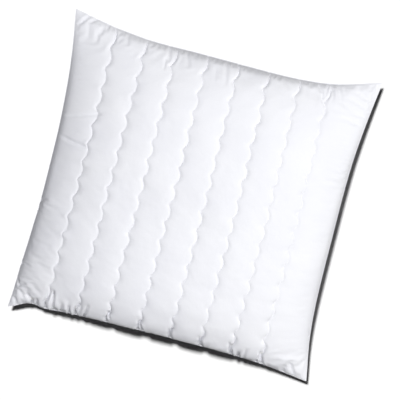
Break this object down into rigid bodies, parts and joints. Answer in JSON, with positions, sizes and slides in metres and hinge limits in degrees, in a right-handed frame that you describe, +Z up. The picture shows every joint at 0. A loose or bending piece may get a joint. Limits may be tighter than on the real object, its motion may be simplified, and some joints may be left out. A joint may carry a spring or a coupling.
{
  "type": "bed pillow",
  "caption": "Large square bed pillow, filled with loose fibre, with wavy quilting lines across both faces, a plain edge seam and ears at the corners.",
  "frame": {"origin": "under the middle of the pillow, on the surface that it lies on", "axes": "+Z up through the pillow's thickness, +Y towards the head side, along the quilting lines, +X to the right as seen from above with the head side away"},
  "size_m": [0.776, 0.776, 0.1509],
  "materials": {
    "cover_cloth": "matt, fine plain weave, white with a slight cool tint",
    "seam_cloth": "matt, raw edges of the cover cloth",
    "thread": "satin polyester sewing thread",
    "wadding": "matt, lofty non-woven fibre",
    "lining": "matt, thin non-woven cloth",
    "filling": "matt, loose balled fibre"
  },
  "bodies": {
    "root": {"top_cover": "cover_cloth", "top_wadding": "wadding", "top_lining": "lining", "top_quilting_thread_1": "thread", "top_quilting_thread_2": "thread", "top_quilting_thread_3": "thread", "top_quilting_thread_4": "thread", "top_quilting_thread_5": "thread", "top_quilting_thread_6": "thread", "top_quilting_thread_7": "thread", "top_quilting_thread_8": "thread", "bottom_cover": "cover_cloth", "bottom_wadding": "wadding", "bottom_lining": "lining", "bottom_quilting_thread_1": "thread", "bottom_quilting_thread_2": "thread", "bottom_quilting_thread_3": "thread", "bottom_quilting_thread_4": "thread", "bottom_quilting_thread_5": "thread", "bottom_quilting_thread_6": "thread", "bottom_quilting_thread_7": "thread", "bottom_quilting_thread_8": "thread", "fibre_filling": "filling", "seam_allowance": "seam_cloth", "seam_thread": "thread"}
  },
  "joints": []
}
